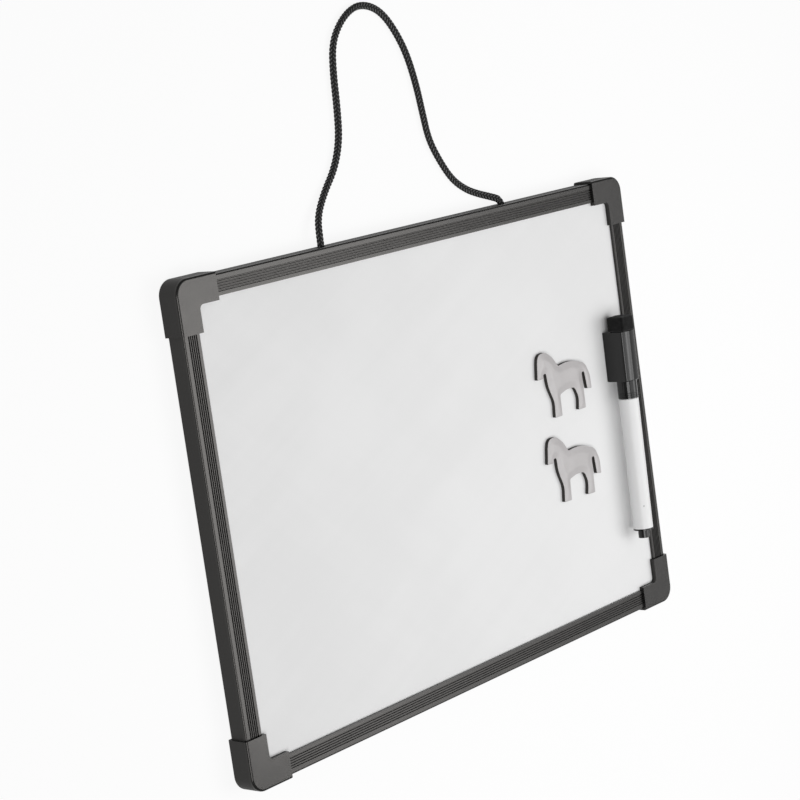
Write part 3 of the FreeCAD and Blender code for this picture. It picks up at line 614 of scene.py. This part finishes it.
def poured_face(name, carrier, finish):
    """Closed shell on the carrier's outline: an upright cut edge, and a top that rises from it, then levels.

    Height over the carrier = edge + rise (1 - exp(-distance / reach)) + pillow (3 s^2 - 2 s^3), evened out
    over neighbours, where distance is from the edge and s goes from 0 at the pillow's start to 1 at its end.
    """
    outline = divided(top_outline(carrier))
    base = outline[0, 2]
    rim = outline[:, :2]
    low, high = rim.min(axis=0), rim.max(axis=0)
    across = np.arange(low[0], high[0], face_spacing)
    up = np.arange(low[1], high[1], face_spacing * math.sqrt(0.75))
    lattice = np.stack(np.meshgrid(across, up), axis=-1)
    lattice[1::2, :, 0] += face_spacing / 2.0
    inside = lattice.reshape(-1, 2)
    distance, within = edge_distance(inside, rim)
    inside = inside[within & (distance > face_spacing * rim_clearance)]
    flat = np.vstack([rim, inside])
    count = len(rim)
    ring = np.stack([np.arange(count), np.roll(np.arange(count), -1)], axis=1)
    scale = 1000.0
    scaled = [Vector(point) for point in (flat * scale).tolist()]
    solved = geometry.delaunay_2d_cdt(scaled, ring.tolist(), [], 1, 1e-5)
    spots = np.array([tuple(point) for point in solved[0]]) / scale
    triangles = np.array(solved[2])
    distance = edge_distance(spots, rim)[0]
    distance[:count] = 0.0
    share = np.clip((distance - pillow_start) / (pillow_end - pillow_start), 0.0, 1.0)
    height = face_edge_height + face_rise * (1.0 - np.exp(-distance / face_reach))
    height = height + pillow_rise * share * share * (3.0 - 2.0 * share)
    pairs = np.vstack([triangles[:, [0, 1]], triangles[:, [1, 2]], triangles[:, [2, 0]]])
    pairs = np.vstack([pairs, pairs[:, ::-1]])
    shares = np.bincount(pairs[:, 0], minlength=len(spots))
    for step in range(smoothing_rounds):
        even = np.bincount(pairs[:, 0], height[pairs[:, 1]], minlength=len(spots)) / shares
        height = np.where(distance > 0.0, even, height)
    top = np.column_stack([spots, base + height])
    foot = np.column_stack([spots[:count], np.full(count, base)])
    foot_index = len(top) + ring
    wall = np.column_stack([foot_index[:, 0], foot_index[:, 1], ring[:, 1], ring[:, 0]])
    faces = triangles.tolist() + wall.tolist() + [(len(top) + np.arange(count))[::-1].tolist()]
    piece = add_piece(name, np.vstack([top, foot]), faces, finish)
    piece.data.set_sharp_from_angle(angle=sharpest_smooth_turn)
    return piece


rubber = Finish("magnet_rubber", {"Specular IOR Level": 0.3})
rubber_grain = rubber.noise(0.0003, 3.0)
rubber_cut = rubber.noise(0.0004, 2.0, (1.0, 1.0, 8.0))
rubber.surface(
    Base_Color=rubber.mix(0.5 * rubber_grain + 0.5 * rubber_cut, grey(0.022, 0.08), grey(0.046, 0.08)),
    Roughness=0.6 + 0.2 * rubber_grain,
    Normal=rubber.bump(0.5 * rubber_grain + 0.5 * rubber_cut, 0.00005),
)
dress(rubber, "upper_horse_magnet", "lower_horse_magnet")
resin = Finish("grey_resin", {"IOR": 1.5})
resin_clouds = resin.noise(0.009, 3.0)
resin_grain = resin.noise(0.0004, 3.0)
resin.surface(
    Base_Color=resin.mix(
        resin.rise(0.7 * resin_clouds + 0.3 * resin_grain, 0.36, 0.64),
        (0.435, 0.418, 0.418, 1.0),
        (0.470, 0.452, 0.452, 1.0),
    ),
    Roughness=0.28 + 0.12 * resin_clouds,
    Normal=resin.bump(resin_grain, 0.000012),
)
for horse in ("upper_horse", "lower_horse"):
    horse_face = poured_face(horse + "_resin", horse + "_magnet", resin)
    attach(horse_face, horse)
    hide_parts(horse + "_face")


# Table: one white top under the board, seen as plain white, with the board's own soft shadow on it.
table_half = 20.0
table_drop = 0.00005
shadow_share = 0.12
table_mesh = bpy.data.meshes.new("table_top")
table_corners = ((-1.0, -1.0), (1.0, -1.0), (1.0, 1.0), (-1.0, 1.0))
table_points = [(x * table_half, y * table_half, -table_drop) for x, y in table_corners]
table_mesh.from_pydata(table_points, [], [(0, 1, 2, 3)])
table = bpy.data.objects.new("table_top", table_mesh)
bpy.context.collection.objects.link(table)
white_top = Finish("table_white", {"Base Color": grey(0.9), "Roughness": 0.7})
seen = white_top.node("ShaderNodeLightPath", {}, {}, "Is Camera Ray")
mirrored = white_top.node("ShaderNodeLightPath", {}, {}, "Is Glossy Ray")
passed = white_top.node("ShaderNodeLightPath", {}, {}, "Is Transmission Ray")
glow = white_top.node("ShaderNodeEmission", {}, {"Color": grey(1.0), "Strength": 1.0})
lit = Term(white_top, white_top.shader.outputs[0])
shown = white_top.node(
    "ShaderNodeMixShader", {}, {0: (1.0 - shadow_share) * (seen + mirrored + passed), 1: lit, 2: glow}
)
white_top.feed(white_top.tree.nodes["Material Output"], {"Surface": shown})
table.data.materials.append(white_top.material)


# Light: a wide soft box high on the camera's side, a near one just over the pen, and a far one on the right
# with a pale backdrop below it, which the camera sees mirrored in the frame; the room is even and dim.
room_grey = 0.18


def soft_box(name, place, side, radiance):
    """Square area lamp at a place, facing the board; its power gives the radiance a mirror would show."""
    lamp = bpy.data.lights.new(name, "AREA")
    lamp.shape = "SQUARE"
    lamp.size = side
    lamp.energy = radiance * math.pi * side * side
    stand = bpy.data.objects.new(name, lamp)
    stand.location = place
    stand.rotation_euler = (-Vector(place)).to_track_quat("-Z", "Y").to_euler()
    bpy.context.collection.objects.link(stand)


soft_box("left_box", (-1.95, -0.54, 2.48), 1.7, 5.3)
soft_box("near_right_box", (0.18, -0.05, 0.45), 0.44, 1.85)
soft_box("far_right_box", (1.69, -0.39, 1.92), 1.0, 2.8)
soft_box("backdrop", (2.60, -0.55, 1.05), 1.9, 0.45)
room = bpy.data.worlds.new("room")
room.use_nodes = True
room.node_tree.nodes["Background"].inputs["Color"].default_value = grey(room_grey)
bpy.context.scene.world = room


# Camera: from the board's left and above, turned so that the board's top edge is up in the picture.
camera_place = Vector((-0.77735, 0.19077, 0.69110))
camera_ahead = Vector((0.73097, -0.15453, -0.66469)).normalized()
camera_up = Vector((0.20803, 0.97812, 0.00139))
camera_right = camera_ahead.cross(camera_up).normalized()
camera_up = camera_right.cross(camera_ahead)
camera_lens = 106.71
camera_data = bpy.data.cameras.new("camera")
camera_data.lens = camera_lens
camera_data.sensor_width = 36.0
camera = bpy.data.objects.new("camera", camera_data)
camera.matrix_world = Matrix.Translation(camera_place) @ Matrix(
    (camera_right, camera_up, -camera_ahead)
).transposed().to_4x4()
bpy.context.collection.objects.link(camera)
bpy.context.scene.camera = camera
bpy.context.scene.view_settings.view_transform = "Standard"
